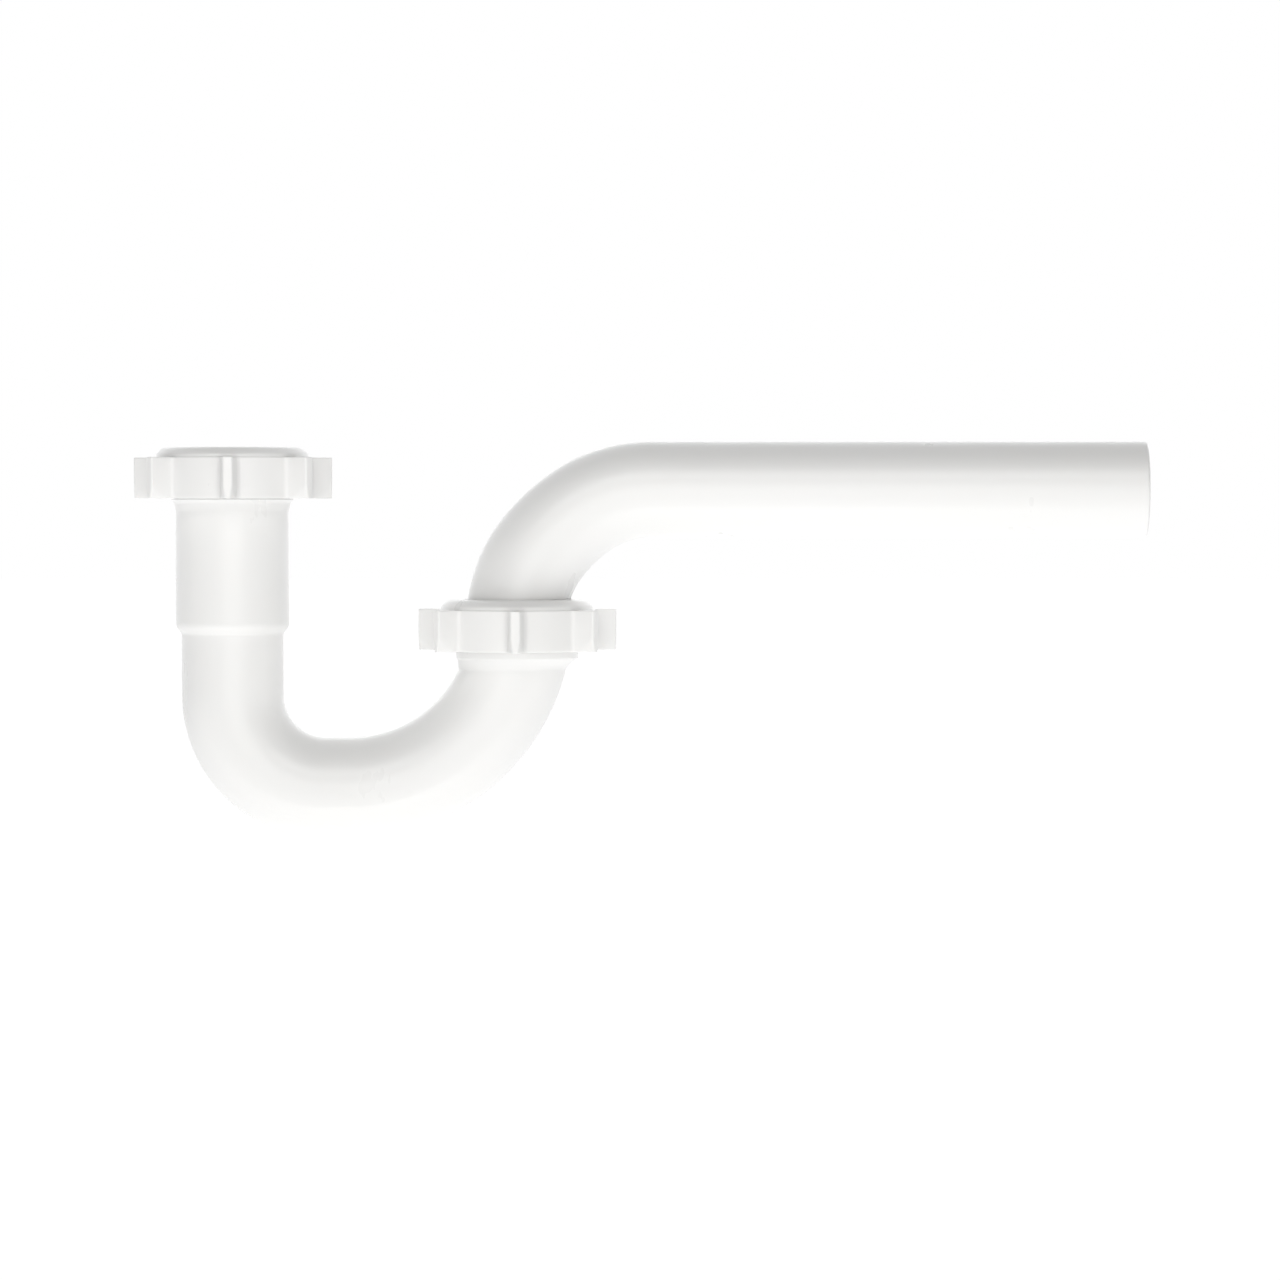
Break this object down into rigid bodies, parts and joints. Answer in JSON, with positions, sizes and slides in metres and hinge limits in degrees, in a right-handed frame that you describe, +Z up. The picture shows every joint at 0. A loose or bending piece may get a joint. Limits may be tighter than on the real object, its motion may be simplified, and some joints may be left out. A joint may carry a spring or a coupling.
{
  "type": "p trap",
  "caption": "White plastic slip-joint P trap for a sink drain: J-bend with an inlet socket, long bent trap arm, lugged slip nuts and sealing washers",
  "frame": {"origin": "middle of the inlet slip nut's top face, on the axis of the inlet socket", "axes": "+Z points up out of the inlet, +X points along the trap arm to the wall, and the part is level as installed; the plane Y=0 holds both legs and the arm"},
  "size_m": [0.4079, 0.0792, 0.1599],
  "materials": {
    "white_plastic": "satin white injection-moulded polypropylene",
    "washer_plastic": "translucent soft polyethylene"
  },
  "bodies": {
    "trap_bend": {"trap_bend": "white_plastic"},
    "inlet_washer": {"inlet_washer": "washer_plastic"},
    "inlet_slip_nut": {"inlet_slip_nut": "white_plastic"},
    "union_washer": {"union_washer": "washer_plastic"},
    "union_nut": {"union_nut": "white_plastic"},
    "trap_arm": {"trap_arm": "white_plastic"}
  },
  "joints": [
    {"name": "inlet_lift", "type": "slide", "parent": "trap_bend", "child": "inlet_washer", "axis": [0, 0, 1], "range_m": [0, 0.00884]},
    {"name": "inlet_nut_turn", "type": "hinge", "parent": "inlet_washer", "child": "inlet_slip_nut", "pos_m": [0, 0, 0], "axis": [0, 0, 1], "range_deg": [0, 1440]},
    {"name": "union_lift", "type": "slide", "parent": "trap_bend", "child": "union_washer", "axis": [0, 0, 1], "range_m": [0, 0.00884]},
    {"name": "union_nut_turn", "type": "hinge", "parent": "union_washer", "child": "union_nut", "pos_m": [0.11482, 0, -0.061], "axis": [0, 0, 1], "range_deg": [0, 1440]},
    {"name": "arm_swivel", "type": "hinge", "parent": "union_washer", "child": "trap_arm", "pos_m": [0.11482, 0, -0.061], "axis": [0, 0, 1], "range_deg": [-145, 145]}
  ],
  "couplings": [
    {"joint": "inlet_lift", "follows": "inlet_nut_turn", "m_per_rad": 0.00035152},
    {"joint": "union_lift", "follows": "union_nut_turn", "m_per_rad": 0.00035152}
  ]
}
